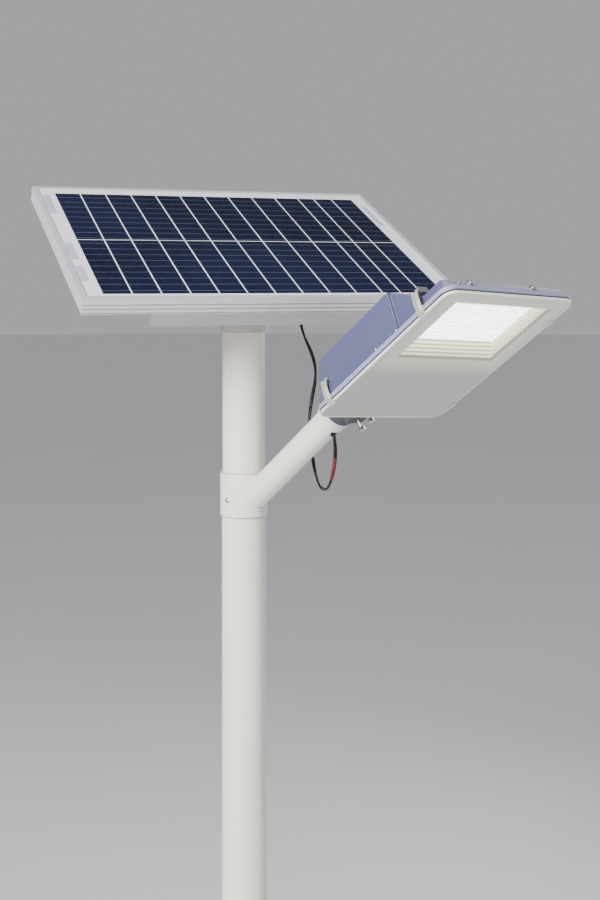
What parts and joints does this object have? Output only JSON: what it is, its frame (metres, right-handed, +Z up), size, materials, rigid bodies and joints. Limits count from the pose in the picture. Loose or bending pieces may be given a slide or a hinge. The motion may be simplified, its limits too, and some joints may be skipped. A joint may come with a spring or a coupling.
{
  "type": "solar street lamp",
  "caption": "Pole-mounted solar lamp: a tilting solar panel on a pole-top bracket and a clip-fronted LED lamp head on a raised side arm.",
  "frame": {"origin": "on the pole's axis at the underside of the base plate, at the centre of its four anchor holes", "axes": "+Z up along the pole, -Y towards the panel's low edge, +X to the right seen from the front; the lamp arm points 17 degrees right of -Y"},
  "size_m": [0.664, 0.9154, 2.7817],
  "materials": {
    "pole_paint": "satin ivory powder coat",
    "galvanised": "zinc plated, satin",
    "fixings": "zinc plated fasteners",
    "panel_frame": "silver anodised",
    "panel_glass": "low-iron tempered glass",
    "backsheet": "white laminate",
    "cells": "dark blue silicon cells",
    "black_plastic": "moulded black plastic",
    "box_paint": "pale grey powder coat",
    "lamp_paint": "blue-grey powder coat on aluminium",
    "socket_paint": "dark grey powder coat on cast aluminium",
    "cover_glass": "printed border with a clear window",
    "seal_rubber": "matte black",
    "reflector": "cream white moulded plastic",
    "led_lens": "clear optical plastic",
    "circuit_board": "white solder mask",
    "bare_aluminium": "mill finish",
    "battery_sleeve": "blue shrink sleeve",
    "clip_steel": "bright spring steel",
    "lead_jacket": "black twin lead"
  },
  "bodies": {
    "pole": {"pole": "pole_paint", "base_plate": "pole_paint", "base_gussets": "pole_paint", "lead_mid": "lead_jacket"},
    "turret": {"top_sleeve": "galvanised", "sleeve_screws": "fixings", "tilt_ears": "galvanised", "tilt_bolt": "fixings", "tilt_nut": "fixings"},
    "panel": {"frame_front": "panel_frame", "frame_back": "panel_frame", "frame_left": "panel_frame", "frame_right": "panel_frame", "panel_glass": "panel_glass", "panel_backsheet": "backsheet", "panel_cells": "cells", "junction_box": "black_plastic", "junction_lid": "black_plastic", "support_rails": "bare_aluminium", "mount_box": "box_paint", "mount_box_end_left": "box_paint", "mount_box_end_right": "box_paint", "box_screws": "fixings", "tilt_lugs": "galvanised", "lead_gland": "black_plastic", "lead_top": "lead_jacket"},
    "arm": {"arm_collar": "pole_paint", "collar_screws": "fixings", "arm_tube": "pole_paint", "arm_ring": "pole_paint", "arm_spigot": "galvanised", "lead_grommet": "seal_rubber", "lead_loop": "lead_jacket"},
    "lamp": {"lamp_housing": "lamp_paint", "lamp_socket": "socket_paint", "clamp_screws": "fixings", "lamp_cover": "cover_glass", "lamp_gasket": "seal_rubber", "lamp_reflector": "reflector", "led_lens_plate": "led_lens", "led_board": "circuit_board", "heat_plate": "bare_aluminium", "gear_tray": "bare_aluminium", "battery_cells": "battery_sleeve", "battery_holder": "black_plastic", "charge_controller": "black_plastic", "clip_brackets": "clip_steel", "clip_pins": "clip_steel", "end_screws": "fixings", "side_screws": "fixings"},
    "clip_left_near": {"clip_left_near": "clip_steel"},
    "clip_left_far": {"clip_left_far": "clip_steel"},
    "clip_right_near": {"clip_right_near": "clip_steel"},
    "clip_right_far": {"clip_right_far": "clip_steel"}
  },
  "joints": [
    {"name": "panel_turn", "type": "hinge", "parent": "pole", "child": "turret", "pos_m": [0, 0, 2.548], "axis": [0, 0, 1], "range_deg": [-15, 15], "deforming": ["lead_mid"]},
    {"name": "panel_tilt", "type": "hinge", "parent": "turret", "child": "panel", "pos_m": [0, 0, 2.573], "axis": [1, 0, 0], "range_deg": [-23.68, 21.32], "deforming": ["lead_top"]},
    {"name": "arm_turn", "type": "hinge", "parent": "pole", "child": "arm", "pos_m": [0, 0, 2.2], "axis": [0, 0, 1], "range_deg": [-15, 15], "deforming": ["lead_loop"]},
    {"name": "lamp_roll", "type": "hinge", "parent": "arm", "child": "lamp", "pos_m": [0, 0, 2.2], "axis": [0.2391, -0.7716, 0.5895], "range_deg": [-15, 15]},
    {"name": "clip_left_near_swing", "type": "hinge", "parent": "lamp", "child": "clip_left_near", "pos_m": [-0.00457, -0.4017, 2.45679], "axis": [-0.2427, 0.7931, -0.5587], "range_deg": [0, 100]},
    {"name": "clip_left_far_swing", "type": "hinge", "parent": "lamp", "child": "clip_left_far", "pos_m": [0.05392, -0.59283, 2.59144], "axis": [-0.2427, 0.7931, -0.5587], "range_deg": [0, 100]},
    {"name": "clip_right_near_swing", "type": "hinge", "parent": "lamp", "child": "clip_right_near", "pos_m": [0.23015, -0.34072, 2.44139], "axis": [0.2427, -0.7931, 0.5587], "range_deg": [0, 100]},
    {"name": "clip_right_far_swing", "type": "hinge", "parent": "lamp", "child": "clip_right_far", "pos_m": [0.28864, -0.53185, 2.57604], "axis": [0.2427, -0.7931, 0.5587], "range_deg": [0, 100]}
  ]
}
